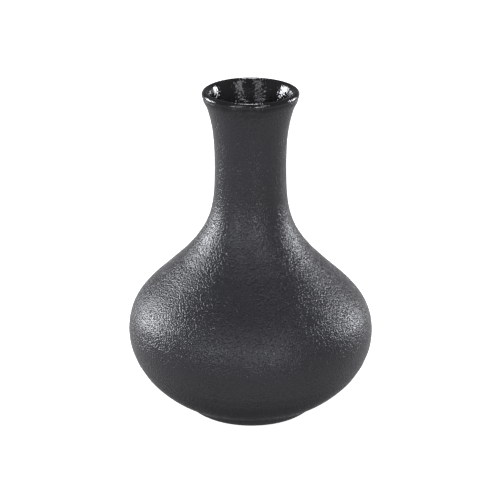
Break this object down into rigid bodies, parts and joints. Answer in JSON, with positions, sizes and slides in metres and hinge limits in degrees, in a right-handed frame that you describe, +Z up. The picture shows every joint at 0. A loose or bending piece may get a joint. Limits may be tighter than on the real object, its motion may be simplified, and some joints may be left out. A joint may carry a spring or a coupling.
{
  "type": "stoneware bottle vase",
  "caption": "Small dark stoneware bottle vase: round squat belly on a low foot, slender neck with a flared rolled lip, textured glaze outside and gloss inside.",
  "frame": {"origin": "centre of the foot ring, on the plane that the vase stands on", "axes": "+Z up the axis that the vase was thrown on, towards the mouth; it is round, so +X and +Y are any two directions square to it"},
  "size_m": [0.108, 0.108, 0.145],
  "materials": {
    "clay": "dark stoneware, bare and matt on the foot ring",
    "textured_glaze": "satin charcoal glaze with a fine pebbled skin",
    "liner_glaze": "gloss black glaze"
  },
  "bodies": {
    "root": {"clay_body": "clay", "outside_glaze": "textured_glaze", "liner_glaze": "liner_glaze", "base_glaze": "textured_glaze"}
  },
  "joints": []
}
